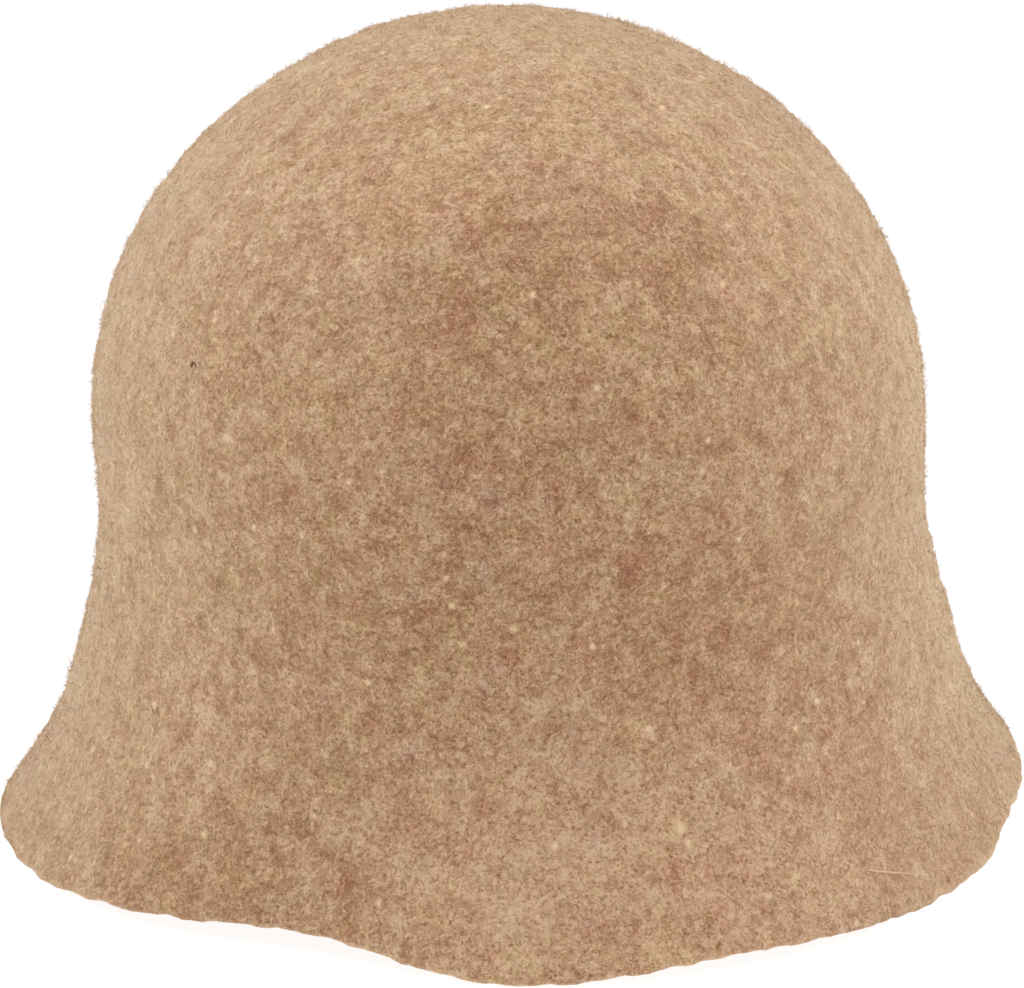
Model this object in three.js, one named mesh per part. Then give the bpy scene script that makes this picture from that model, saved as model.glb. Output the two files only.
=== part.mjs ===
// A bell-shaped sauna hat, felted from wool in one piece: no seam, band, lining or loop.
// Millimetres, +Z up, the wearer faces -Y. The origin is on the floor under the middle of the hat,
// which stands on its brim. Azimuths are in degrees: 0 is +X, 90 the back, 180 -X and 270 the front.

import * as THREE from 'three';

// Driving dimensions of the felt
const WALL = 3;                    // thickness of the felt
const SPRING = 92;                 // height at which the side turns into the dome
const CROWN_HEIGHT = 95;           // from there up to the top
const CROWN_FULLNESS = 2.1;        // superellipse power of the dome's height: more fills its shoulders
const CROWN_TIP = 1.9;             // superellipse power of its radius: less draws its top to a point
const FOLD_TOP = 84;               // height above which the brim's folds have died out
const FOLD_FADE = 2;               // how fast they die out on the way up from the edge
const PRESS = 1.4;                 // how far the hat's own weight flattens the lowest stretches of its edge

// How finely the felt is divided
const SEGMENTS = 96;               // round the head
const CROWN_RINGS = 11;            // from the top to the spring line
const SIDE_RINGS = 12;             // from there to the edge
const RIM_STEPS = 5;               // over the rounded cut edge
const SIDE_CROWDING = 1.25;        // above 1 the side's rings crowd towards the flared brim

// Outside of the side, a row for each level section. shift carries the section towards +X.
const SECTIONS = [
  { height: 0, halfWidth: 118.6, halfDepth: 120.5, shift: -1.2 },
  { height: 8, halfWidth: 113.4, halfDepth: 115.8, shift: -0.6 },
  { height: 18, halfWidth: 108, halfDepth: 110.4, shift: 0.3 },
  { height: 30, halfWidth: 103.6, halfDepth: 104.8, shift: 0.9 },
  { height: 44, halfWidth: 100.2, halfDepth: 100.4, shift: 1.2 },
  { height: 58, halfWidth: 97.2, halfDepth: 98.4, shift: 1.2 },
  { height: 72, halfWidth: 95.2, halfDepth: 98.2, shift: 0.8 },
  { height: 92, halfWidth: 95.8, halfDepth: 100, shift: 0 },
];

// Waves of the brim, a row for each fold: where it is, how far it spreads round the edge on either
// side, and how far the edge is carried outwards and lifted there.
const FOLDS = [
  { azimuth: 20, spread: 23, out: 6.5, lift: 10 },
  { azimuth: 348, spread: 5, out: -0.5, lift: 3 },
  { azimuth: 298, spread: 19, out: 3, lift: 5 },
  { azimuth: 270, spread: 11, out: 3, lift: -1 },
  { azimuth: 248, spread: 13, out: -9, lift: 5.4 },
  { azimuth: 226, spread: 13, out: -0.5, lift: 3.6 },
  { azimuth: 122, spread: 20, out: 1, lift: 4.5 },
];

// Half width, half depth and shift at a height: a smooth curve through the sections.
const sectionCurve = new THREE.CubicInterpolant(
  SECTIONS.map((section) => section.height),
  SECTIONS.flatMap((section) => [section.halfWidth, section.halfDepth, section.shift]),
  3,
);

function sectionAt(height) {
  const [halfWidth, halfDepth, shift] = sectionCurve.evaluate(height);
  return { halfWidth, deeper: halfDepth - halfWidth, shift };
}

const innerHalfWidth = sectionAt(SPRING).halfWidth - WALL;

// Outer profile of the felt from the top of the dome down to the edge.
function outerProfile() {
  const { halfWidth } = sectionAt(SPRING);
  const profile = [new THREE.Vector2(0, SPRING + CROWN_HEIGHT)];
  for (let ring = 1; ring < CROWN_RINGS; ring += 1) {
    const angle = (ring / CROWN_RINGS) * (Math.PI / 2);
    const radius = halfWidth * Math.sin(angle) ** (2 / CROWN_TIP);
    const height = SPRING + CROWN_HEIGHT * Math.cos(angle) ** (2 / CROWN_FULLNESS);
    profile.push(new THREE.Vector2(radius, height));
  }
  const lowest = WALL / 2;
  for (let ring = 0; ring <= SIDE_RINGS; ring += 1) {
    const share = (1 - ring / SIDE_RINGS) ** SIDE_CROWDING;
    const height = lowest + (SPRING - lowest) * share;
    profile.push(new THREE.Vector2(sectionAt(height).halfWidth, height));
  }
  return profile;
}

// Directions out of the felt, square to the profile, one for each of its points.
function outwardNormals(profile) {
  return profile.map((point, index) => {
    if (index === 0) return new THREE.Vector2(0, 1);
    const before = profile[index - 1];
    const after = profile[Math.min(index + 1, profile.length - 1)];
    const along = after.clone().sub(before).normalize();
    return new THREE.Vector2(-along.y, along.x);
  });
}

// The closed section of the wall as a list of stations. It is worked out down the outside, round the
// cut edge and up the inside, and then reversed, because a lathe's faces point out where the outside
// runs upwards. level is the height of the outer point that a station belongs to, so that both
// faces of the felt follow the same folds and keep their distance.
function wallStations() {
  const outer = outerProfile();
  const normals = outwardNormals(outer);
  const stations = outer.map((point) => ({ radius: point.x, height: point.y, level: point.y }));
  const last = outer.length - 1;
  const middle = outer[last].clone().addScaledVector(normals[last], -WALL / 2);
  for (let step = 1; step < RIM_STEPS; step += 1) {
    const arm = normals[last].clone().multiplyScalar(WALL / 2);
    arm.rotateAround(new THREE.Vector2(), -Math.PI * (step / RIM_STEPS));
    stations.push({ radius: middle.x + arm.x, height: middle.y + arm.y, level: outer[last].y });
  }
  for (let index = last; index >= 0; index -= 1) {
    const inner = outer[index].clone().addScaledVector(normals[index], -WALL);
    stations.push({ radius: inner.x, height: inner.y, level: outer[index].y });
  }
  return stations.reverse();
}

// How far the edge is carried outwards and lifted at an azimuth, as the sum of all folds.
function edgeAt(azimuth) {
  let out = 0;
  let lift = 0;
  for (const fold of FOLDS) {
    const away = THREE.MathUtils.euclideanModulo(azimuth - fold.azimuth + 180, 360) - 180;
    const strength = Math.exp(-0.5 * (away / fold.spread) ** 2);
    out += fold.out * strength;
    lift += fold.lift * strength;
  }
  return { out, lift };
}

// Where a point of the turned wall goes: oval, shifted and folded, and never below the floor. The dome
// gets its oval little by little, from none at the top to the whole of it at the inner half width.
function shaped(station, azimuth) {
  const { deeper, shift } = sectionAt(Math.min(station.level, SPRING));
  const oval = deeper * Math.min(1, station.radius / innerHalfWidth);
  const fade = Math.max(0, 1 - station.level / FOLD_TOP) ** FOLD_FADE;
  const edge = edgeAt(azimuth);
  const turn = THREE.MathUtils.degToRad(azimuth);
  const radius = station.radius + edge.out * fade;
  return new THREE.Vector3(
    radius * Math.cos(turn) + shift,
    (radius + oval) * Math.sin(turn),
    Math.max(0, station.height + (edge.lift - PRESS) * fade),
  );
}

// The wall is turned on the lathe, laid with its axis along +Z, shaped point by point, and set with
// the middle of its outline over the origin. LatheGeometry keeps the stations in order within each
// of its segments.
function feltWall() {
  const stations = wallStations();
  const profile = stations.map((station) => new THREE.Vector2(station.radius, station.height));
  const geometry = new THREE.LatheGeometry(profile, SEGMENTS);
  geometry.rotateX(Math.PI / 2);
  const places = geometry.attributes.position;
  for (let index = 0; index < places.count; index += 1) {
    const station = stations[index % stations.length];
    const segment = Math.floor(index / stations.length) % SEGMENTS;
    const place = shaped(station, (segment / SEGMENTS) * 360 - 90);
    places.setXYZ(index, place.x, place.y, place.z);
  }
  geometry.computeBoundingBox();
  const middle = geometry.boundingBox.getCenter(new THREE.Vector3());
  geometry.translate(-middle.x, -middle.y, 0);
  geometry.computeVertexNormals();
  return geometry;
}

const felt = new THREE.MeshStandardMaterial({ color: '#b18c6c', roughness: 0.95, metalness: 0 });

const feltBody = new THREE.Mesh(feltWall(), felt);
feltBody.name = 'felt_body';

const saunaHat = new THREE.Group();
saunaHat.name = 'sauna_hat';
saunaHat.add(feltBody);

export default saunaHat;
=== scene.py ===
# %% [markdown]
# # A sauna hat of felted wool
#
# The real hat is one piece. Wool is laid round a form, wetted, rubbed until its fibres lock, and
# pulled over a head-shaped block. There is no seam and nothing is sewn on, so everything that the eye
# can tell it is felt by comes from three things: the soft, slightly uneven wall, the mixed colours of
# the wool, and the loose fibres that stand a little off the surface. This lesson makes those three.
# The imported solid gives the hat's size and place, and the new wall stands exactly where it does.

import bpy
import numpy as np
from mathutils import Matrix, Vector


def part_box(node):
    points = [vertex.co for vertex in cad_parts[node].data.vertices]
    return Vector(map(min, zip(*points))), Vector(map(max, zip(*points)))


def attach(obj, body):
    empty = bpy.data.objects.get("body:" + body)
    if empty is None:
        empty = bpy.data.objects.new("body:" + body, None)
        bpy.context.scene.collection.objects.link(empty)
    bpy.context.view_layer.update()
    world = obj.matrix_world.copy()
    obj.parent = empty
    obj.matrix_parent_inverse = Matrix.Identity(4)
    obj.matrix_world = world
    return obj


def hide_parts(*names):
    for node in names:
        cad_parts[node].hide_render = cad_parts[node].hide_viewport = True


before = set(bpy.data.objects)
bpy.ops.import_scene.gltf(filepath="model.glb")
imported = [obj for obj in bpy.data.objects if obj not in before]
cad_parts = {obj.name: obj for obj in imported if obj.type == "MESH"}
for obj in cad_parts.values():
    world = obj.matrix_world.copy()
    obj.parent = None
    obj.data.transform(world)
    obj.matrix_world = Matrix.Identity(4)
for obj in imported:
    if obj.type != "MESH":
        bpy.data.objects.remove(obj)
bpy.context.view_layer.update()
MM = 0.001

# %% [markdown]
# ## The camera
#
# The hat is seen a little from above, with a long lens from more than a metre away. A camera could be
# placed by eye. This one is worked out from the elevation and distance that it should have, and aimed a
# little below the middle of the hat, so that the whole hat just fills the frame. It is made first, so
# that every later step can be looked at.

# %% Camera
CAMERA_ELEVATION = np.radians(15.93)
CAMERA_DISTANCE = 1.2045  # metres
CAMERA_LENS, SENSOR_WIDTH = 183.1, 36.0  # millimetres
CAMERA_CLIP_START = 0.05  # metres
CAMERA_AIM = Vector((-0.0002, 0, 0.0744))

camera_data = bpy.data.cameras.new("studio camera")
camera_data.lens = CAMERA_LENS
camera_data.sensor_width = SENSOR_WIDTH
camera_data.clip_start = CAMERA_CLIP_START
camera = bpy.data.objects.new("studio camera", camera_data)
bpy.context.scene.collection.objects.link(camera)
outwards = Vector((0, -np.cos(CAMERA_ELEVATION), np.sin(CAMERA_ELEVATION)))
camera.location = CAMERA_AIM + outwards * CAMERA_DISTANCE
camera.rotation_mode = "QUATERNION"
camera.rotation_quaternion = (-outwards).to_track_quat("-Z", "Y")
bpy.context.scene.camera = camera
print("camera at, m:", [round(value, 3) for value in camera.location])

# %% [markdown]
# ## The form of the wall
#
# A felt hat could be sculpted, or a tube of cloth could be simulated over a block. Here it is worked
# out instead: a profile from the top of the crown down to the edge, carried round the head. A few
# level sections give its width and depth, and a few folds give the waves of the brim. This keeps the
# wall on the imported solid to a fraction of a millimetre.

# %% Rows that give the form, in millimetres and degrees
WALL = 3.0            # thickness of the felt
SPRING = 92.0         # height at which the side turns into the dome
CROWN_HEIGHT = 95.0   # from there up to the top
CROWN_FULLNESS = 2.1  # superellipse power of the dome's height: more fills its shoulders
CROWN_TIP = 1.9       # superellipse power of its radius: less draws its top to a point
FOLD_TOP = 84.0       # height above which the brim's folds have died out
FOLD_FADE = 2.0       # how fast they die out on the way up from the edge
PRESS = 1.4           # how far the hat's own weight flattens the lowest stretches of its edge

# height, half width, half depth, shift to the side
SECTIONS = np.array([
    [0, 118.6, 120.5, -1.2],
    [8, 113.4, 115.8, -0.6],
    [18, 108.0, 110.4, 0.3],
    [30, 103.6, 104.8, 0.9],
    [44, 100.2, 100.4, 1.2],
    [58, 97.2, 98.4, 1.2],
    [72, 95.2, 98.2, 0.8],
    [92, 95.8, 100.0, 0.0],
])

# azimuth, spread, how far the edge goes out there, how far it lifts
FOLDS = np.array([
    [20, 23, 6.5, 10.0],
    [348, 5, -0.5, 3.0],
    [298, 19, 3.0, 5.0],
    [270, 11, 3.0, -1.0],
    [248, 13, -9.0, 5.4],
    [226, 13, -0.5, 3.6],
    [122, 20, 1.0, 4.5],
])
print(len(SECTIONS), "sections and", len(FOLDS), "folds")


# %% Curves through the rows
def through_rows(height, rows):
    """A cubic between each two rows, whose slope at a row is the slope between its neighbours."""
    levels, values = rows[:, 0], rows[:, 1:]
    slopes = np.gradient(values, levels, axis=0)
    slopes[1:-1] = (values[2:] - values[:-2]) / (levels[2:] - levels[:-2])[:, None]
    low = np.clip(np.searchsorted(levels, height, side="right") - 1, 0, len(levels) - 2)
    gap = levels[low + 1] - levels[low]
    t = (np.clip(height, levels[0], levels[-1]) - levels[low]) / gap
    t, gap = t[..., None], gap[..., None]
    rise = t * t * (3 - 2 * t)
    return (
        values[low] * (1 - rise)
        + values[low + 1] * rise
        + slopes[low] * gap * t * (1 - t) ** 2
        - slopes[low + 1] * gap * t * t * (1 - t)
    )


def edge_at(azimuth):
    """How far the edge goes out and lifts at each azimuth: the sum of one bell curve for each fold."""
    away = (azimuth[:, None] - FOLDS[:, 0] + 180) % 360 - 180
    strength = np.exp(-0.5 * (away / FOLDS[:, 1]) ** 2)
    return strength @ FOLDS[:, 2], strength @ FOLDS[:, 3]


print("edge lifts, mm:", np.round(edge_at(np.arange(0.0, 360, 45))[1], 1).tolist())

# %% [markdown]
# ## From the profile to a closed wall
#
# The felt has one thickness all over, and its cut edge is rounded by wear. A Solidify modifier could
# thicken a single sheet, but its edge would be square. So the wall's section is drawn as one closed
# line: down the outside, round the cut edge and up the inside. Each of its points is a station. The
# surface is then a function of two parameters, the station and the azimuth, and the whole grid is
# computed at once. The inside gets fewer rings, because hardly anything of it shows.

# %% Stations of the wall
CROWN_RINGS = 97  # from the top to the spring line
SIDE_RINGS = 66   # from there to the edge
RIM_RINGS = 10    # steps round the cut edge
INSIDE_STEP = 3   # only every third ring on the inside


def outer_profile():
    """Radius and height from the top of the crown to the edge: a superellipse, then the sections."""
    angle = np.linspace(0, np.pi / 2, CROWN_RINGS, endpoint=False)
    crown_radius = SECTIONS[-1, 1] * np.sin(angle) ** (2 / CROWN_TIP)
    crown_height = SPRING + CROWN_HEIGHT * np.cos(angle) ** (2 / CROWN_FULLNESS)
    side_height = np.linspace(SPRING, WALL / 2, SIDE_RINGS)
    side_radius = through_rows(side_height, SECTIONS)[:, 0]
    return np.concatenate([crown_radius, side_radius]), np.concatenate([crown_height, side_height])


def wall_stations():
    """Rows of radius, height and level for the closed section. The level is the height of the outer
    point that a station belongs to, so that both faces follow the same folds."""
    radius, height = outer_profile()
    along = np.stack([np.gradient(radius), np.gradient(height)], axis=1)
    along /= np.linalg.norm(along, axis=1, keepdims=True)
    out_r, out_z = -along[:, 1], along[:, 0]
    out_r[0], out_z[0] = 0, 1
    turn = np.pi * np.arange(1, RIM_RINGS) / RIM_RINGS
    arm_r = np.cos(turn) * out_r[-1] + np.sin(turn) * out_z[-1]
    arm_z = np.cos(turn) * out_z[-1] - np.sin(turn) * out_r[-1]
    rim = np.stack([
        radius[-1] - out_r[-1] * WALL / 2 + arm_r * WALL / 2,
        height[-1] - out_z[-1] * WALL / 2 + arm_z * WALL / 2,
        np.full(len(turn), height[-1]),
    ], axis=1)
    outside = np.stack([radius, height, height], axis=1)
    inside = np.stack([radius - out_r * WALL, height - out_z * WALL, height], axis=1)
    unseen = inside[::-INSIDE_STEP]
    return np.concatenate([outside, rim, unseen]), len(outside), len(outside) + len(rim)


stations, rim_start, inside_start = wall_stations()
print(len(stations), "stations, of which", rim_start, "on the outside")

# %% The smooth wall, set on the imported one
AROUND = 432


def felt_surface(stations, azimuth):
    """Each station turned round the head, made oval, shifted and folded, and kept above the floor."""
    radius, height, level = stations.T[:, :, None]
    width, depth, shift = through_rows(np.minimum(level[:, 0], SPRING), SECTIONS).T[:, :, None]
    oval = (depth - width) * np.minimum(1, radius / (SECTIONS[-1, 1] - WALL))
    fade = np.maximum(0, 1 - level / FOLD_TOP) ** FOLD_FADE
    out, lift = edge_at(azimuth)
    turn = np.radians(azimuth)
    far = radius + out * fade
    return np.stack([
        far * np.cos(turn) + shift,
        (far + oval) * np.sin(turn),
        np.maximum(0, height + (lift - PRESS) * fade),
    ], axis=2)


azimuth = np.arange(AROUND) * 360 / AROUND
smooth_wall = felt_surface(stations, azimuth)
frame_low, frame_high = (np.array(corner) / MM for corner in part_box("felt_body"))
middle = (smooth_wall.min((0, 1)) + smooth_wall.max((0, 1))) / 2
smooth_wall += (frame_low + frame_high) / 2 - middle
smooth_wall[..., 2] -= smooth_wall[..., 2].min()
print("wall grid:", *smooth_wall.shape[:2])
print("wall box, mm:", smooth_wall.min((0, 1)).round(1), smooth_wall.max((0, 1)).round(1))

# %% [markdown]
# ## Random fields
#
# Wool is uneven at every scale, so one kind of random field serves for the lumps of the wall, for the
# patches of colour and for the fibres. Blender's noise textures could do it, but numpy can't read them.
# This one puts a random number on each corner of a cubic lattice and blends between the corners, which
# makes it the same from all sides and free of seams.

# %% A random number for each corner of a lattice
# large odd factors, and shifts in bits, that stir whole numbers until no pattern is left in them
AXIS_FACTORS = (73856093, 19349663, 83492791)
SEED_FACTOR = 374761393
STIRS = [(15, 2246822519), (13, 3266489917)]
LAST_SHIFT = 16
LARGEST = 2 ** 32 - 1


def scatter(corner, seed):
    """A repeatable number from -1 to 1 for each lattice corner: its three whole numbers and the seed,
    each times a large factor, put together and stirred."""
    along_x, along_y, along_z = (corner[..., axis] * factor for axis, factor in enumerate(AXIS_FACTORS))
    mixed = ((along_x ^ along_y ^ along_z) + seed * SEED_FACTOR) & LARGEST
    for shift, factor in STIRS:
        mixed = ((mixed ^ (mixed >> shift)) * factor) & LARGEST
    return (mixed ^ (mixed >> LAST_SHIFT)) / (LARGEST // 2) - 1


print("one corner's number:", scatter(np.array([1, 2, 3]), seed=5).round(3))


# %% A smooth random field
def field(points, grain, seed):
    """The random field at points, with lumps about one grain wide, in the unit of the points: the
    numbers of the eight corners round a point, each weighted by how near it is, on a soft curve."""
    cell = np.floor(points / grain).astype(np.int64)
    share = points / grain - cell
    share = share * share * (3 - 2 * share)
    total = np.zeros(points.shape[:-1])
    for corner in np.ndindex(2, 2, 2):
        weight = np.where(corner, share, 1 - share).prod(axis=-1)
        total += weight * scatter(cell + np.array(corner), seed)
    return total


def layered(points, coarse, fine, seed, fall=0.62):
    """Fields from a coarse to a fine grain added up, each with half the grain of the one before and its
    strength times fall, divided by the root of the sum of their squared strengths."""
    total, strength, grain, squares = np.zeros(points.shape[:-1]), 1.0, coarse, 0.0
    while grain >= fine:
        total += strength * field(points, grain, seed)
        squares += strength ** 2
        strength, grain, seed = strength * fall, grain / 2, seed + 1
    return total / np.sqrt(squares)


sample = layered(smooth_wall[:rim_start:8, ::8], coarse=32, fine=2, seed=5)
print("field spread:", sample.std().round(3))

# %% [markdown]
# ## The uneven wall
#
# Hand-worked felt is never quite even. It has broad soft dents from drying, lumps a fingertip wide
# where more wool locked together, and pills, the little bumps that rubbing rolls up, which make its
# outline ragged. A sculpted or painted relief could give them, but a random field puts them all round
# the hat at once. The dents move both faces of the felt alike, and the lumps and pills each face by
# itself. Nothing sinks below the floor that the brim rests on.

# %% Dents, lumps and pills
# widths and heights in millimetres
DENT_GRAIN, DENT_DEPTH = 46.0, 0.55
LUMP_GRAIN, LUMP_HEIGHT = 9.0, 0.3
PILL_GRAIN, PILL_HEIGHT = 3.4, 0.5


def grid_normals(points):
    """Unit normals of a grid that closes round its second parameter, from its two tangents."""
    down = np.gradient(points, axis=0)
    round_ = np.roll(points, -1, axis=1) - np.roll(points, 1, axis=1)
    normal = np.cross(down, round_)
    normal[0], normal[-1] = (0, 0, 1), (0, 0, -1)
    return normal / np.maximum(np.linalg.norm(normal, axis=2, keepdims=True), 1e-9)


def uneven(points):
    """The grid moved along its normals by dents, lumps and pills, and kept above the floor. A dent moves
    both faces of the wall the same way, so that it keeps its thickness. Their normals are opposite, so
    the dents change sign on the inside."""
    normal = grid_normals(points)
    middle_of_rim = (rim_start + inside_start) // 2
    outside = np.where(np.arange(len(points)) < middle_of_rim, 1.0, -1.0)[:, None]
    dents = DENT_DEPTH * field(points, DENT_GRAIN, seed=11) * outside
    lumps = LUMP_HEIGHT * field(points, LUMP_GRAIN, seed=21)
    pills = PILL_HEIGHT * layered(points, PILL_GRAIN, PILL_GRAIN / 2, seed=31)
    moved = points + normal * (dents + lumps + pills)[..., None]
    moved[0], moved[-1] = moved[0].mean(axis=0), moved[-1].mean(axis=0)
    moved[..., 2] = np.maximum(moved[..., 2], 0)
    return moved


wall = uneven(smooth_wall)
wall_normal = grid_normals(wall)
print("wall moved by up to, mm:", np.abs(wall - smooth_wall).max().round(2))

# %% [markdown]
# ## The wool's mixed colours
#
# Felting wool is a heather: olive brown, honey, rust and cream fibres carded together. The mix is not
# even, so it changes from tuft to tuft, and rust tufts are a little darker than the rest. Two numbers
# describe it everywhere: the tone, from dark to light, and the warmth, from olive to rust. Each could be
# a texture in the material alone, but worked out here in space they are shared by the wall and its
# fibres. A few broad, faint patches that move the tone and the warmth are given in a table. The lighter
# ones are painted light: on the front of the brim, which flares up towards the lamps above, and near the
# outline. The largest neps, the tiny knots of cream wool that carding leaves behind, are given in a table
# too.

# %% Patches and neps
# middle of the patch and its reach in millimetres, and what it adds to the tone and to the warmth
# painted light: the rows that lighten the front of the brim, which flares up towards the lamps above, and
# the parts near the outline; the other rows move the wool's tone and warmth in broad patches
PATCHES_AND_PAINTED_LIGHT = np.array([
    [6, -73, 156, 9, -0.07, 0.0],
    [31, -70, 150, 9, -0.2, 0.06],
    [-26, -68, 156, 8, 0.12, 0.0],
    [-6, -83, 145, 10, -0.14, 0.0],
    [-5, -97, 107, 9, 0.06, 0.08],
    [27, -92, 117, 8, 0.14, 0.0],
    [-32, -93, 101, 8, 0.09, 0.0],
    [36, -90, 70, 9, -0.1, 0.08],
    [23, -95, 83, 8, -0.06, 0.08],
    [-13, -97, 80, 8, -0.1, 0.0],
    [7, -97, 57, 8, 0.05, 0.0],
    [10, -103, 34, 20, 0.15, 0.04],
    [40, -100, 20, 20, 0.16, 0.05],
    [-15, -106, 22, 11, 0.08, 0.0],
    [-65, -76, 38, 12, 0.12, -0.03],
    [-70, -70, 46, 10, 0.08, 0.0],
    [-108, 5, 18, 20, 0.1, 0.0],
    [-59, -95, 6, 9, -0.1, 0.0],
    [-78, -84, 7, 10, -0.09, 0.0],
    [-60, -45, 150, 20, 0.08, 0.0],
    [60, -45, 150, 20, 0.08, 0.0],
    [75, -70, 35, 25, 0.0, 0.12],
    [0, -90, 10, 45, 0.03, 0.02],
    [0, -30, 175, 35, 0.06, -0.12],
    [-85, -40, 70, 35, 0.0, -0.06],
    [65, -95, 15, 14, 0.1, 0.0],
    [-2, -117, 9, 12, 0.12, 0.0],
    [-95, -65, 28, 14, 0.08, 0.0],
])

# middle and reach of the largest neps, in millimetres
NEPS = np.array([
    [5, -114, 13, 1.5],
    [38, -101, 25, 2.4],
    [36, -100, 28, 1.9],
    [72, -88, 12, 1.5],
    [24, -103, 30, 1.7],
    [30, -99, 36, 1.4],
    [30, -95, 47, 1.0],
])


def patches_and_painted_light(points):
    """What the listed patches add to tone and warmth: a bell curve of the distance from each."""
    away = np.linalg.norm(points[..., None, :] - PATCHES_AND_PAINTED_LIGHT[:, :3], axis=-1) / PATCHES_AND_PAINTED_LIGHT[:, 3]
    return np.moveaxis(np.exp(-0.5 * away ** 2) @ PATCHES_AND_PAINTED_LIGHT[:, 4:], -1, 0)


def knots(points):
    """From 0 away from the listed neps to 1 at the middle of each: the highest of the bell curves
    of the distance from each."""
    away = np.linalg.norm(points[..., None, :] - NEPS[:, :3], axis=-1) / NEPS[:, 3]
    return np.exp(-0.5 * away ** 2).max(axis=-1)


print(len(PATCHES_AND_PAINTED_LIGHT), "patches and", len(NEPS), "large neps")

# %% Tone and warmth
# the coarsest and the finest grain in millimetres, and how far each field moves its number
TONE_GRAIN, TONE_CHANGE = 7.0, 0.09
WARMTH_GRAIN, WARMTH_CHANGE = 5.0, 0.22
FINEST_GRAIN, SLOW_FALL = 1.5, 0.8
RUST_IS_DARKER = 0.35


def heather(points):
    """Tone and warmth from 0 to 1 at points in millimetres: a half, and layered fields, and patches."""
    broad_tone, broad_warmth = patches_and_painted_light(points)
    warmth = WARMTH_CHANGE * layered(points, WARMTH_GRAIN, FINEST_GRAIN, seed=61, fall=SLOW_FALL)
    tone = TONE_CHANGE * layered(points, TONE_GRAIN, FINEST_GRAIN, seed=41, fall=SLOW_FALL)
    tone = tone - RUST_IS_DARKER * warmth
    return np.clip(0.5 + tone + broad_tone, 0, 1), np.clip(0.5 + warmth + broad_warmth, 0, 1)


wall_tone, wall_warmth = heather(wall)
print("tone spread:", wall_tone.std().round(3), "warmth spread:", wall_warmth.std().round(3))

# %% [markdown]
# ## Meshes from arrays
#
# The real felt has no seam, so its mesh shouldn't have one either. A primitive could be bent to the
# form, but the form is there already as an array, and one helper turns arrays into a mesh. The wall is a
# closed grid: quads between its rings, and a fan of triangles at each of its two poles, where the crown
# closes on the outside and on the inside.

# %% Mesh helper
def new_piece(name, points, faces, corner_uv=None):
    """A mesh object from points in millimetres and a list of arrays of faces with equal corners."""
    mesh = bpy.data.meshes.new(name)
    corners = np.concatenate([part.ravel() for part in faces])
    sizes = np.concatenate([np.full(len(part), part.shape[1]) for part in faces])
    mesh.vertices.add(len(points))
    mesh.vertices.foreach_set("co", (points * MM).ravel().astype(np.float32))
    mesh.loops.add(len(corners))
    mesh.loops.foreach_set("vertex_index", corners.astype(np.int32))
    mesh.polygons.add(len(sizes))
    mesh.polygons.foreach_set("loop_start", (np.cumsum(sizes) - sizes).astype(np.int32))
    mesh.polygons.foreach_set("loop_total", sizes.astype(np.int32))
    mesh.update(calc_edges=True)
    mesh.shade_smooth()
    if corner_uv is not None:
        layer = mesh.uv_layers.new(name="OFBake")
        layer.uv.foreach_set("vector", corner_uv.ravel().astype(np.float32))
    piece = bpy.data.objects.new(name, mesh)
    bpy.context.scene.collection.objects.link(piece)
    print(name, "has", int((sizes - 2).sum()), "triangles")
    return piece


def store(piece, name, values):
    """Keeps one number for each point of a piece, for its material to read."""
    attribute = piece.data.attributes.new(name, "FLOAT", "POINT")
    attribute.data.foreach_set("value", values.ravel().astype(np.float32))
    print(name, "of", piece.name, "from", values.min().round(2), "to", values.max().round(2))


# %% The felt wall
def closed_grid(rows, columns):
    """Faces of a grid of rings whose first and last rows are single points."""
    ring = 1 + np.arange((rows - 2) * columns).reshape(rows - 2, columns)
    beside = np.roll(ring, -1, axis=1)
    quads = np.stack([ring[:-1], ring[1:], beside[1:], beside[:-1]], axis=-1).reshape(-1, 4)
    last = 1 + ring.size
    top = np.stack([np.zeros(columns, int), ring[0], beside[0]], axis=-1)
    bottom = np.stack([np.full(columns, last), beside[-1], ring[-1]], axis=-1)
    return quads, top, bottom


def open_rings(values):
    """The values of a grid's points with its two poles taken once."""
    return np.concatenate([values[:1, 0], values[1:-1].reshape(-1, *values.shape[2:]), values[-1:, 0]])


def unrolled(rows, columns):
    """Map coordinates of the corners of closed_grid's faces, in their order: the azimuth across and the
    station upwards. A pole lies over the middle of each triangle of its fan."""
    across = np.arange(columns) / columns
    next_across = across + 1 / columns
    up = 1 - np.arange(rows) / (rows - 1)
    shape = (rows - 3, columns)
    left, right = np.broadcast_to(across, shape), np.broadcast_to(next_across, shape)
    above = np.broadcast_to(up[1:-2, None], shape)
    below = np.broadcast_to(up[2:-1, None], shape)
    quads = np.stack([left, above, left, below, right, below, right, above], axis=-1)
    half = (across + next_across) / 2
    one = np.ones(columns)
    top = np.stack([half, one * up[0], across, one * up[1], next_across, one * up[1]], axis=-1)
    bottom = np.stack([half, one * up[-1], next_across, one * up[-2], across, one * up[-2]], axis=-1)
    return np.concatenate([quads.ravel(), top.ravel(), bottom.ravel()])


grid_size = wall.shape[:2]
felt_wall = new_piece("felt_wall", open_rings(wall), closed_grid(*grid_size), unrolled(*grid_size))
store(felt_wall, "tone", open_rings(wall_tone))
store(felt_wall, "warmth", open_rings(wall_warmth))
store(felt_wall, "nep", open_rings(knots(wall)))

# %% [markdown]
# ## Loose fibres
#
# Felt is a mat of crimped fibres a few hundredths of a millimetre thick, and some of them stand off it
# as a short fuzz. A hair system could strew them, but these pieces are meshes that can be exported.
# Drawn at their real thickness they would not show, so each of these stands for a small tuft. Every
# fibre is a closed tube with three sides that tapers to a point. Its path is a curve on the wall, found
# in the wall's own two parameters, so that it follows the dents. Its root is sunk into the wall and its
# tip lifts off by a fraction of a millimetre. Where a random field is high the fibres also arch up
# together in loops, which gives the outline its little tufts.

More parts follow.
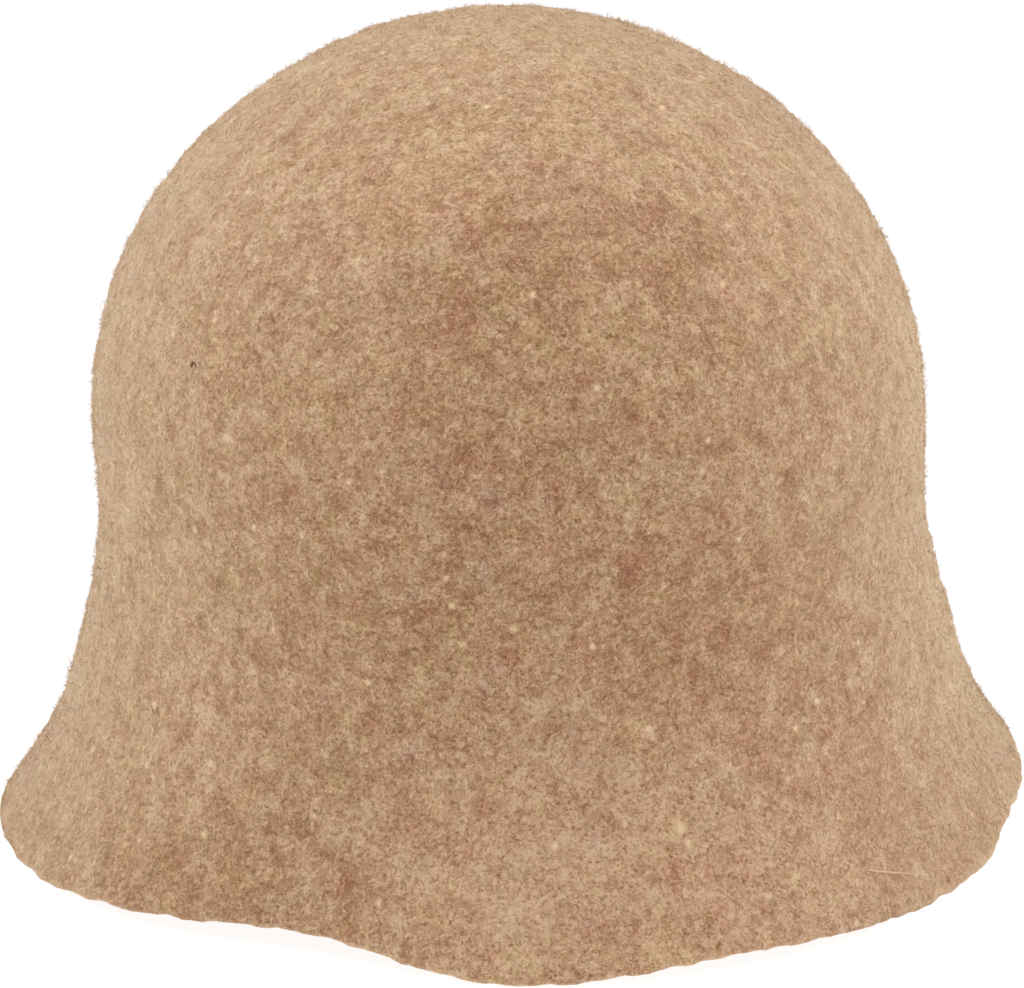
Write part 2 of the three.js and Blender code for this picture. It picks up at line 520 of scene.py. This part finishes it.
# %% Places on the wall
def on_wall(row, column, grid):
    """The value of a grid at fractional rows and columns, blended from its four neighbours."""
    low_r = np.clip(np.floor(row).astype(int), 0, rim_start - 2)
    low_c = np.floor(column).astype(int)
    r, c = (row - low_r)[..., None], (column - low_c)[..., None]
    low_c, next_c = low_c % AROUND, (low_c + 1) % AROUND
    above = grid[low_r, low_c] * (1 - c) + grid[low_r, next_c] * c
    below = grid[low_r + 1, low_c] * (1 - c) + grid[low_r + 1, next_c] * c
    return above * (1 - r) + below * r


def roots(count, random):
    """Rows and columns of places spread evenly over the outside of the wall: each cell of the grid is
    drawn as often as its share of the area says, and the place within it at random."""
    outside = wall[:rim_start]
    down = np.linalg.norm(np.diff(outside, axis=0), axis=2)
    across = np.linalg.norm(np.roll(outside, -1, axis=1) - outside, axis=2)
    area = down * (across[:-1] + across[1:]) / 2
    chosen = random.choice(area.size, size=count, p=(area / area.sum()).ravel())
    row, column = np.divmod(chosen, AROUND)
    return row + random.random(count), column + random.random(count)


print("place of row 50, column 0, mm:", on_wall(np.array(50.0), np.array(0.0), wall).round(1))

# %% Paths of fibres
LESS_TO_MORE = (0.6, 1.4)  # lengths and thicknesses, as shares of their mean
NARROWEST = 0.2            # millimetres between two columns, which meet at the top of the crown
FIRST_ROW, LAST_ROW = 1, rim_start - 1.001  # fibres stay on the outside, short of the cut edge


def fibre_paths(count, steps, length, crimp, random):
    """Paths in rows and columns. Each step turns a little, and what it is in millimetres is divided by
    the distance between two rows, and between two columns, of the wall's grid there."""
    row, column = roots(count, random)
    along = length * random.uniform(*LESS_TO_MORE, count) / steps
    heading = random.uniform(0, 2 * np.pi, count)
    bend = random.normal(0, crimp, count)
    rows, columns = [row], [column]
    for _ in range(steps):
        low = np.clip(row.astype(int), 1, rim_start - 2)
        side = column.astype(int) % AROUND
        tall = np.linalg.norm(wall[low + 1, side] - wall[low, side], axis=1)
        wide = np.linalg.norm(wall[low, (side + 1) % AROUND] - wall[low, side], axis=1)
        row = np.clip(row + along * np.sin(heading) / tall, FIRST_ROW, LAST_ROW)
        column = column + along * np.cos(heading) / np.maximum(wide, NARROWEST)
        heading = heading + bend + random.normal(0, crimp / 2, count)
        rows.append(row)
        columns.append(column)
    return np.stack(rows, axis=1), np.stack(columns, axis=1)


trial_rows, _ = fibre_paths(count=100, steps=2, length=1.6, crimp=0.3, random=np.random.default_rng(1))
print("100 trial paths, rows from", trial_rows.min().round(1), "to", trial_rows.max().round(1))

# %% Tubes along paths
SIDES = 3
LOWER_TO_HIGHER = (0.5, 1.5)  # lifts, as shares of what is asked
TIP_TAPER = 0.75              # share of its thickness that a fibre loses towards its tip
UV_SPREAD = 0.012             # keeps the corners of a face apart on the map
UV_MARGIN = 0.02


def tubes(name, rows, columns, thickness, lift, colours, random, arch=0.0):
    """Tapered tubes along paths on the wall. lift gives the heights above it from root to tip, in
    millimetres, colours the tone and warmth of each, and arch how far the middle of each is raised."""
    count, steps = len(rows), rows.shape[1] - 1
    spine = on_wall(rows, columns, wall)
    out = on_wall(rows, columns, wall_normal)
    share = np.linspace(0, 1, steps + 1)
    height = np.interp(share, np.linspace(0, 1, len(lift)), lift)
    height = height * random.uniform(*LOWER_TO_HIGHER, (count, 1))
    height = height + np.reshape(arch, (-1, 1)) * np.sin(np.pi * share)
    spine = spine + out * height[..., None]
    spine[..., 2] = np.maximum(spine[..., 2], thickness)
    along = np.gradient(spine, axis=1)
    side = np.cross(along, out)
    side /= np.maximum(np.linalg.norm(side, axis=2, keepdims=True), 1e-9)
    up = np.cross(side, along)
    up /= np.maximum(np.linalg.norm(up, axis=2, keepdims=True), 1e-9)
    taper = thickness / 2 * (1 - TIP_TAPER * share ** 2)
    girth = taper[None, :steps, None, None] * random.uniform(*LESS_TO_MORE, (count, 1, 1, 1))
    turn = 2 * np.pi * np.arange(SIDES) / SIDES
    around = np.cos(turn)[:, None] * up[:, :steps, None] + np.sin(turn)[:, None] * side[:, :steps, None]
    rings = spine[:, :steps, None] + girth * around
    points = np.concatenate([rings.reshape(count, -1, 3), spine[:, -1:]], axis=1)
    faces, uv = tube_faces(count, steps, colours)
    return new_piece(name, points.reshape(-1, 3), faces, uv)


def tube_faces(count, steps, colours):
    """Faces of all tubes, which are a cap at the root, quads between the rings and a fan to the tip, and
    their map coordinates: the tone across and the warmth upwards, spread a little within each tube."""
    each = steps * SIDES + 1
    ring = np.arange(steps * SIDES).reshape(steps, SIDES)
    beside = np.roll(ring, -1, axis=1)
    quads = np.stack([ring[:-1], beside[:-1], beside[1:], ring[1:]], axis=-1).reshape(-1, 4)
    root = ring[:1, ::-1]
    tip = np.stack([ring[-1], beside[-1], np.full(SIDES, each - 1)], axis=-1)
    start = (np.arange(count) * each)[:, None, None]
    faces = [(start + part[None]).reshape(-1, part.shape[1]) for part in (quads, root, tip)]
    tone, warmth = np.clip(colours, UV_MARGIN, 1 - UV_MARGIN)
    tube, local = np.divmod(np.concatenate([part.ravel() for part in faces]), each)
    across = tone[tube] + UV_SPREAD * (local % SIDES - 1)
    climb = warmth[tube] + UV_SPREAD * (local // SIDES - steps / 2)
    return faces, np.stack([across, climb], axis=-1)


# %% The fuzz
LOOP_GRAIN, LOOP_HEIGHT = 2.2, 1.4  # millimetres
# painted light: each fibre's tone is raised above the wool at its root, for the light that loose,
# translucent ends catch and let through
FIBRE_PAINTED_LIGHT, TONE_SPREAD, WARMTH_SPREAD = 0.16, 0.08, 0.12
STANDING_PIECES, STANDING_COUNT = 3, 19800
STANDING_SEED, WISP_SEED = 200, 300
WISP_COUNT = 1500
FIBRE_THICKNESS = 0.1  # millimetres: a tuft of a few fibres


def fibres(name, count, steps, length, lift, crimp, seed):
    """Fibres strewn over the wall, each a little lighter than the wool at its root, which is painted
    light for the light that the loose, translucent ends catch and let through. Lengths and lifts are in
    millimetres."""
    random = np.random.default_rng(seed)
    rows, columns = fibre_paths(count, steps, length, crimp, random)
    places = on_wall(rows[:, 0], columns[:, 0], wall)
    tone, warmth = heather(places)
    arch = LOOP_HEIGHT * np.maximum(0, field(places, LOOP_GRAIN, seed=71))
    tone = tone + random.normal(FIBRE_PAINTED_LIGHT, TONE_SPREAD, count)
    warmth = warmth + random.normal(0, WARMTH_SPREAD, count)
    return tubes(name, rows, columns, FIBRE_THICKNESS, lift, (tone, warmth), random, arch)


standing_wool = [
    fibres(f"standing_wool_{number}", STANDING_COUNT, steps=2, length=1.6, lift=[-0.05, 0.2, 0.45],
           crimp=0.3, seed=STANDING_SEED + number)
    for number in range(STANDING_PIECES)
]
wisps = fibres("wisps", WISP_COUNT, steps=4, length=3.6, lift=[-0.05, 0.4, 0.8, 0.9], crimp=0.45,
               seed=WISP_SEED)
fuzz = [*standing_wool, wisps]

# %% [markdown]
# ## Two small strays
#
# Fleece is never quite clean. One long guard hair, stiffer and paler than the rest, lies on the brim, and
# a scrap of dried plant, picked up in the pasture, is caught in the side. Both could be loose curves, but
# they are made like the other fibres, on paths along the wall that are given one by one, so that they lie
# on the felt and don't cut into it.

# %% A guard hair and a plant scrap
# places, thicknesses and lifts in millimetres, and the scrap's path in rows and columns from its place
HAIR_ENDS = np.array([[77.0, -82.3, 12.2], [89.0, -72.0, 8.0]])
HAIR_STEPS = 8
HAIR_DROP = 0.6  # rows that it lies lower than the grid points nearest to its ends
HAIR_THICKNESS, HAIR_LIFT = 0.46, [0.3, 1.0, 1.0, 0.3]
SCRAP_PLACE = np.array([[-70.0, -63.0, 121.0]])
SCRAP_ROWS = np.array([[0.0, -0.6, -0.7, -0.4, 0.05]])
SCRAP_COLUMNS = np.array([[-0.1, 0.0, 0.5, 0.9, 1.1]])
SCRAP_THICKNESS, SCRAP_LIFT = 0.5, [0.05, 0.15, 0.05]
STRAY_MAP = np.array([[0.98], [0.35]])  # where both lie on the map, which their materials don't read
STRAY_SEED = 400


def nearest(places):
    """Row and column of the wall's grid point that is nearest to each place in millimetres."""
    away = np.linalg.norm(wall[None, :rim_start] - places[:, None, None], axis=-1)
    return np.divmod(away.reshape(len(places), -1).argmin(axis=1), AROUND)


random = np.random.default_rng(STRAY_SEED)
hair_rows, hair_columns = (np.linspace(*ends, HAIR_STEPS + 1)[None] for ends in nearest(HAIR_ENDS))
guard_hair = tubes(
    "guard_hair", hair_rows + HAIR_DROP, hair_columns, HAIR_THICKNESS, HAIR_LIFT, STRAY_MAP, random)
scrap_row, scrap_column = nearest(SCRAP_PLACE)
plant_scrap = tubes(
    "plant_scrap", scrap_row + SCRAP_ROWS, scrap_column + SCRAP_COLUMNS, SCRAP_THICKNESS, SCRAP_LIFT,
    STRAY_MAP, random)

# %% [markdown]
# ## The wool's colours
#
# Wool is a rough, translucent fibre with no gloss, shaded at its root and bleached by the weather at its
# tip. The colours could be one ramp from dark to light, but a heather has three kinds of wool in it, so
# each kind has a ramp of its own, and two numbers choose between them.

# %% Material helpers
def linear(code, alpha=1.0):
    """A linear colour from an sRGB hex code such as #b18c6c."""
    values = np.array([int(code[place:place + 2], 16) for place in (1, 3, 5)]) / 255
    values = np.where(values <= 0.04045, values / 12.92, ((values + 0.055) / 1.055) ** 2.4)
    return (*values.tolist(), alpha)


def add(tree, kind, inputs, stops=(), **settings):
    """Adds a node. An input is a number, a colour or the output that it is linked to. Stops are the
    places and hex codes of a colour ramp."""
    node = tree.nodes.new(kind)
    for name, value in settings.items():
        setattr(node, name, value)
    for name, value in inputs.items():
        if isinstance(value, bpy.types.NodeSocket):
            tree.links.new(value, node.inputs[name])
        else:
            node.inputs[name].default_value = value
    for number, (place, code) in enumerate(stops):
        elements = node.color_ramp.elements
        element = elements[number] if number < len(elements) else elements.new(place)
        element.position, element.color = place, linear(code)
    return node


def new_material(name):
    """A material with an empty node tree, and the tree to add to."""
    material = bpy.data.materials.new(name)
    material.use_nodes = True
    material.node_tree.nodes.clear()
    return material, material.node_tree


print("camel beige in linear values:", np.round(linear("#b18c6c"), 3))

# %% Wool colours
# Undyed and dyed fleece carded together, each kind from its shaded roots to its bleached tips. Olive
# brown carries the body of the colour, honey gives it its gold, and rust its warmth. Cream is the wool
# of the neps, and the veil of loose ends is nearly white.
OLIVE_WOOL = [(0.0, "#93704c"), (0.35, "#ba9877"), (0.65, "#d0af8f"), (1.0, "#eaccad")]
HONEY_WOOL = [(0.0, "#93703b"), (0.35, "#ba9866"), (0.65, "#d0af7e"), (1.0, "#eacc9c")]
RUST_WOOL = [(0.0, "#935738"), (0.35, "#b77c5e"), (0.65, "#cc9679"), (1.0, "#e6ba9e")]
SHEEN_TINT = "#fde8c8"
NEP_CREAM = "#ffdcb2"


def wool_colour(tree, tone, warmth, gold):
    """The wool's colour: from olive to honey by its gold, from there to rust by its warmth, and along
    each of the three ramps by its tone."""
    olive = add(tree, "ShaderNodeValToRGB", {"Fac": tone}, stops=OLIVE_WOOL).outputs["Color"]
    honey = add(tree, "ShaderNodeValToRGB", {"Fac": tone}, stops=HONEY_WOOL).outputs["Color"]
    rust = add(tree, "ShaderNodeValToRGB", {"Fac": tone}, stops=RUST_WOOL).outputs["Color"]
    camel = add(tree, "ShaderNodeMix", {0: gold, 6: olive, 7: honey}, data_type="RGBA").outputs[2]
    return add(tree, "ShaderNodeMix", {0: warmth, 6: camel, 7: rust}, data_type="RGBA").outputs[2]


for kind, ramp in (("olive", OLIVE_WOOL), ("honey", HONEY_WOOL), ("rust", RUST_WOOL)):
    print(kind, "wool from", ramp[0][1], "to", ramp[-1][1])

# %% [markdown]
# ## The wall's felted wool
#
# Wet-felted wool was rubbed and shrunk until it was dense, then dried without pressing. It gives the eye
# a dull, soft mottling with no lines in it, dark between the fibres. At a grazing angle the loose ends
# catch the light and veil the colour, which the shader's sheen gives. The mottling could be painted, but
# noises cover the whole hat. They move the tone and the warmth that the wall carries: first clumps,
# tufts and strands, then rust stains, then pits, and neps of cream wool over it all.

# %% Clumps, tufts and strands
# The grain in millimetres, the detail, the roughness and the distortion of a noise, and how strongly it
# moves the tone. A clump is a handful of carded wool, a tuft is one lock of it, and a strand is a bundle
# of fibres. A single fibre is a few hundredths of a millimetre thick, so strands are drawn as coarse as
# they need to show.
CLUMP = (5.5, 1.5, 0.7, 0.3, 0.65)
TUFT = (1.5, 2.0, 0.75, 0.6, 2.0)
STRAND = (0.55, 2.0, 0.9, 0.8, 2.2)

felted_wool, tree = new_material("felted wool")
place = add(tree, "ShaderNodeTexCoord", {}).outputs["Object"]
tone = add(tree, "ShaderNodeAttribute", {}, attribute_name="tone").outputs["Fac"]
warmth = add(tree, "ShaderNodeAttribute", {}, attribute_name="warmth").outputs["Fac"]

# Each noise is centred on a half, so half of its strength is taken off again.
noises = []
for grain, detail, roughness, distortion, strength in (CLUMP, TUFT, STRAND):
    noise = add(tree, "ShaderNodeTexNoise", {
        "Vector": place, "Scale": 1 / (grain * MM), "Detail": detail, "Roughness": roughness,
        "Distortion": distortion}).outputs["Fac"]
    moved = add(tree, "ShaderNodeMath", {0: noise, 1: strength, 2: tone}, operation="MULTIPLY_ADD")
    tone = add(tree, "ShaderNodeMath", {
        0: moved.outputs[0], 1: strength / 2}, operation="SUBTRACT").outputs[0]
    noises.append(noise)
_, tufts, strands = noises
print("the tone has", len(tree.nodes), "nodes")

# %% Rust stains and honey patches
# Rust wool lies in small stains, a little darker than the rest, and honey wool in wider patches.
STAIN_GRAIN, STAIN_STRENGTH, STAIN_DARKENING = 3.0, 1.5, 0.6
HONEY_GRAIN, HONEY_STRENGTH, HONEY_SHARE = 9.0, 3.1, 0.57

stain = add(tree, "ShaderNodeTexNoise", {
    "Vector": place, "Scale": 1 / (STAIN_GRAIN * MM), "Detail": 3.0, "Roughness": 0.65,
    "Distortion": 0.5})
rust = add(tree, "ShaderNodeMath", {0: stain.outputs["Fac"], 1: 0.5}, operation="SUBTRACT").outputs[0]
warmth = add(tree, "ShaderNodeMath", {
    0: rust, 1: STAIN_STRENGTH, 2: warmth}, operation="MULTIPLY_ADD").outputs[0]
tone = add(tree, "ShaderNodeMath", {
    0: rust, 1: -STAIN_DARKENING, 2: tone}, operation="MULTIPLY_ADD").outputs[0]
patch = add(tree, "ShaderNodeTexNoise", {
    "Vector": place, "Scale": 1 / (HONEY_GRAIN * MM), "Detail": 4.0, "Roughness": 0.65,
    "Distortion": 0.5})
gold = add(tree, "ShaderNodeMath", {
    0: patch.outputs["Fac"], 1: HONEY_STRENGTH, 2: HONEY_SHARE - HONEY_STRENGTH / 2},
    operation="MULTIPLY_ADD").outputs[0]
print("with its warmth it has", len(tree.nodes), "nodes")

# %% Pits
# Pits are the gaps between fibres, and their darkness is painted shade, the shade that falls into them.
# They are finer than this, and are drawn as coarse as they need to show. The noise makes one wherever it
# is above the edge, and its painted shade is darkest from the bottom on.
PIT_GRAIN, PIT_EDGE, PIT_BOTTOM, PIT_PAINTED_SHADE = 0.8, 0.58, 0.72, 0.48

hollow = add(tree, "ShaderNodeTexNoise", {
    "Vector": place, "Scale": 1 / (PIT_GRAIN * MM), "Detail": 1.0, "Roughness": 0.5, "Distortion": 0.6})
pit = add(tree, "ShaderNodeMapRange", {
    "Value": hollow.outputs["Fac"], "From Min": PIT_EDGE, "From Max": PIT_BOTTOM}, clamp=True)
tone = add(tree, "ShaderNodeMath", {
    0: pit.outputs["Result"], 1: -PIT_PAINTED_SHADE, 2: tone}, operation="MULTIPLY_ADD").outputs[0]
print("a pit takes", PIT_PAINTED_SHADE, "off the tone")

# %% Neps
# Small neps lie about one spacing apart, and the large ones where the wall says. Edge and core are
# shares of the spacing from a nep's middle, and the strands fray its outline.
NEP_SPACING, NEP_EDGE, NEP_CORE, NEP_FRAY = 9.0, 0.11, 0.03, 0.35

knot = add(tree, "ShaderNodeAttribute", {}, attribute_name="nep").outputs["Fac"]
outside_knot = add(tree, "ShaderNodeMath", {0: 1.0, 1: knot}, operation="SUBTRACT").outputs[0]
away = add(tree, "ShaderNodeTexVoronoi", {"Vector": place, "Scale": 1 / (NEP_SPACING * MM)})
away = add(tree, "ShaderNodeMath", {
    0: away.outputs["Distance"], 1: outside_knot}, operation="MULTIPLY").outputs[0]
frayed = add(tree, "ShaderNodeMath", {0: strands, 1: NEP_FRAY, 2: away}, operation="MULTIPLY_ADD")
nep = add(tree, "ShaderNodeMapRange", {
    "Value": frayed.outputs[0], "From Min": NEP_EDGE + NEP_FRAY / 2, "From Max": NEP_CORE + NEP_FRAY / 2},
    clamp=True).outputs["Result"]
print("a small nep is about", round(2 * NEP_EDGE * NEP_SPACING, 1), "mm wide")

# %% Felted wool
# The bump is for relief finer than the mesh. Wool scatters light so widely that it has hardly a shine.
RELIEF_DEPTH, RELIEF_STRENGTH = 0.7, 0.3  # millimetres, and a share
WOOL_GLOSS = 0.15
SHEEN_ROUGHNESS = 0.6

relief = add(tree, "ShaderNodeMath", {0: tufts, 1: strands}, operation="ADD").outputs[0]
bump = add(tree, "ShaderNodeBump", {
    "Height": relief, "Strength": RELIEF_STRENGTH, "Distance": RELIEF_DEPTH * MM})
wool = wool_colour(tree, tone, warmth, gold)
wool = add(tree, "ShaderNodeMix", {0: nep, 6: wool, 7: linear(NEP_CREAM)}, data_type="RGBA").outputs[2]
shader = add(tree, "ShaderNodeBsdfPrincipled", {
    "Base Color": wool, "Normal": bump.outputs["Normal"], "Roughness": 0.95,
    "Specular IOR Level": WOOL_GLOSS, "Sheen Weight": 1.0, "Sheen Roughness": SHEEN_ROUGHNESS,
    "Sheen Tint": linear(SHEEN_TINT)})
add(tree, "ShaderNodeOutputMaterial", {"Surface": shader.outputs["BSDF"]})
felt_wall.data.materials.append(felted_wool)
print("felted wool has", len(tree.nodes), "nodes")

# %% [markdown]
# ## The fibres' loose wool
#
# This is the same wool where it is not locked in, as it came off the carder, and it gives the eye a soft
# bright fuzz. Its brightness is partly painted light: each fibre is a little lighter than the wool at its
# root, for the light that the loose ends catch and let through. A texture would cross from fibre to
# fibre, but a real fibre has one colour. So each has one tone and one warmth, which its own map
# coordinates carry.

# %% Loose wool
LOOSE_GOLD = 0.5  # halfway between the olive and the honey wool

loose_wool, tree = new_material("loose wool fibre")
uv = add(tree, "ShaderNodeUVMap", {}, uv_map="OFBake").outputs["UV"]
parts = add(tree, "ShaderNodeSeparateXYZ", {"Vector": uv}).outputs
shader = add(tree, "ShaderNodeBsdfPrincipled", {
    "Base Color": wool_colour(tree, parts["X"], parts["Y"], LOOSE_GOLD), "Roughness": 0.9,
    "Specular IOR Level": WOOL_GLOSS, "Sheen Weight": 1.0, "Sheen Roughness": SHEEN_ROUGHNESS,
    "Sheen Tint": linear(SHEEN_TINT)})
add(tree, "ShaderNodeOutputMaterial", {"Surface": shader.outputs["BSDF"]})
for piece in fuzz:
    piece.data.materials.append(loose_wool)
print("loose wool has", len(tree.nodes), "nodes")

# %% [markdown]
# ## The strays' kemp and dried plant
#
# Kemp is the coarse outer hair of a fleece, grown with a chalky core. It takes no dye, so it stays pale
# cream and gives the eye one fine light line. The scrap is a grass stem or seed husk, dried and broken:
# dark, dull and streaked along its length. Both could borrow the wool, but they stand out from it on the
# real hat because they are made of something else.

# %% Kemp for the guard hair
KEMP_CREAM = "#ffe0bc"
KEMP_GLOSS = 0.3

kemp, tree = new_material("pale kemp hair")
shader = add(tree, "ShaderNodeBsdfPrincipled", {
    "Base Color": linear(KEMP_CREAM), "Roughness": 0.8, "Specular IOR Level": KEMP_GLOSS,
    "Sheen Weight": 1.0, "Sheen Tint": linear(SHEEN_TINT)})
add(tree, "ShaderNodeOutputMaterial", {"Surface": shader.outputs["BSDF"]})
guard_hair.data.materials.append(kemp)
print("kemp has", len(tree.nodes), "nodes")

# %% Dried plant for the scrap
# The streaks are a few hundredths of a millimetre wide, and are drawn as coarse as they need to show.
STEM_GRAIN = 0.4  # millimetres
STEM_GLOSS = 0.2
DRY_STEM = [(0.35, "#65422b"), (0.65, "#8c6446")]

dried_plant, tree = new_material("dried plant stem")
place = add(tree, "ShaderNodeTexCoord", {}).outputs["Object"]
streaks = add(tree, "ShaderNodeTexNoise", {
    "Vector": place, "Scale": 1 / (STEM_GRAIN * MM), "Detail": 2.0})
stem = add(tree, "ShaderNodeValToRGB", {"Fac": streaks.outputs["Fac"]}, stops=DRY_STEM)
shader = add(tree, "ShaderNodeBsdfPrincipled", {
    "Base Color": stem.outputs["Color"], "Roughness": 0.8, "Specular IOR Level": STEM_GLOSS})
add(tree, "ShaderNodeOutputMaterial", {"Surface": shader.outputs["BSDF"]})
plant_scrap.data.materials.append(dried_plant)
print("dried plant has", len(tree.nodes), "nodes")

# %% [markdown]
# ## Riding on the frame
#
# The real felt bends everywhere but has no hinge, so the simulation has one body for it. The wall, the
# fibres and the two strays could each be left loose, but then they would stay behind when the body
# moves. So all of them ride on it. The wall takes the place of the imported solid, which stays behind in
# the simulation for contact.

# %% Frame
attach(felt_wall, "root")
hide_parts("felt_body")
on_the_wall = [*fuzz, guard_hair, plant_scrap]
for piece in on_the_wall:
    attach(piece, "root")
print(felt_wall.name, *(piece.name for piece in on_the_wall), "ride on the body")

# %% [markdown]
# ## The floor
#
# The hat stands on a light table, a sheet of cast opal acrylic with a matted face. It glows faintly from
# below and shows no reflection, so it gives the eye a plain white ground with hardly any shadow. A dark
# or glossy floor would hide the wave of the brim's edge.

# %% Floor
FLOOR_HALF, FLOOR_DROP = 8000.0, 0.3  # millimetres: the fibres below the brim need a little room
FLOOR_GLOW = 0.88
FLOOR_GREY, GLOW_WHITE = "#8e8e8e", "#ffffff"

floor_corners = np.array([[-1, -1], [1, -1], [1, 1], [-1, 1]]) * FLOOR_HALF
floor_points = np.column_stack([floor_corners, np.full(4, -FLOOR_DROP)])
floor = new_piece("floor", floor_points, [np.array([[0, 1, 2, 3]])])
light_table, tree = new_material("matt opal acrylic")
shader = add(tree, "ShaderNodeBsdfPrincipled", {
    "Base Color": linear(FLOOR_GREY), "Roughness": 1.0, "Emission Color": linear(GLOW_WHITE),
    "Emission Strength": FLOOR_GLOW})
add(tree, "ShaderNodeOutputMaterial", {"Surface": shader.outputs["BSDF"]})
floor.data.materials.append(light_table)

# %% [markdown]
# ## The light
#
# Felt looks soft in soft light, and one hard lamp would turn each fibre into a streak. A picture of a
# studio could light it from all round, but square panels can be set one by one. They stand round and
# above the hat, strongest from the left and from the top, with little light from the camera's side, so
# that the hat is lightest towards its outline.

# %% Lamps
HAT_MIDDLE = Vector((0, 0, 0.09))
TENT_DISTANCE, PANEL_SIZE = 1.8, 1.2  # metres

# azimuth and elevation in degrees, and power in watts
PANELS = [
    (0, 22, 5.1),
    (135, 22, 1.6),
    (180, 22, 5.5),
    (0, 52, 4.6),
    (45, 52, 6.6),
    (180, 52, 10.0),
    (270, 52, 4.4),
    (315, 52, 4.4),
    (0, 90, 8.7),
]


def soft_panel(azimuth, elevation, power):
    """A square area lamp on the tent's sphere, in degrees and watts, that shines towards its middle."""
    turn, rise = np.radians((azimuth, elevation))
    towards = Vector((np.cos(rise) * np.cos(turn), np.cos(rise) * np.sin(turn), np.sin(rise)))
    name = f"tent panel {azimuth} {elevation}"
    data = bpy.data.lights.new(name, "AREA")
    data.size, data.energy = PANEL_SIZE, power
    lamp = bpy.data.objects.new(name, data)
    lamp.location = HAT_MIDDLE + towards * TENT_DISTANCE
    lamp.rotation_mode = "QUATERNION"
    lamp.rotation_quaternion = (HAT_MIDDLE - lamp.location).to_track_quat("-Z", "Y")
    bpy.context.scene.collection.objects.link(lamp)


for panel in PANELS:
    soft_panel(*panel)
print(len(PANELS), "panels of", round(sum(power for _, _, power in PANELS), 1), "W in all")

# %% Room light
ROOM_LIGHT = 0.03

world = bpy.data.worlds.new("studio")
bpy.context.scene.world = world
world.use_nodes = True
background = world.node_tree.nodes["Background"].inputs
background["Color"].default_value = linear("#ffffff")
background["Strength"].default_value = ROOM_LIGHT
bpy.context.scene.view_settings.view_transform = "Standard"
print("the room adds", ROOM_LIGHT)

# %% [markdown]
# ## The end
#
# The visible hat has to be as large as the imported one. Its size could be read off a view, but the two
# boxes say it exactly: the wall was centred on the imported solid's box, and its own box is printed
# there.

# %% The pieces
print("floor and light are ready, and", 1 + len(on_the_wall), "pieces of the hat")
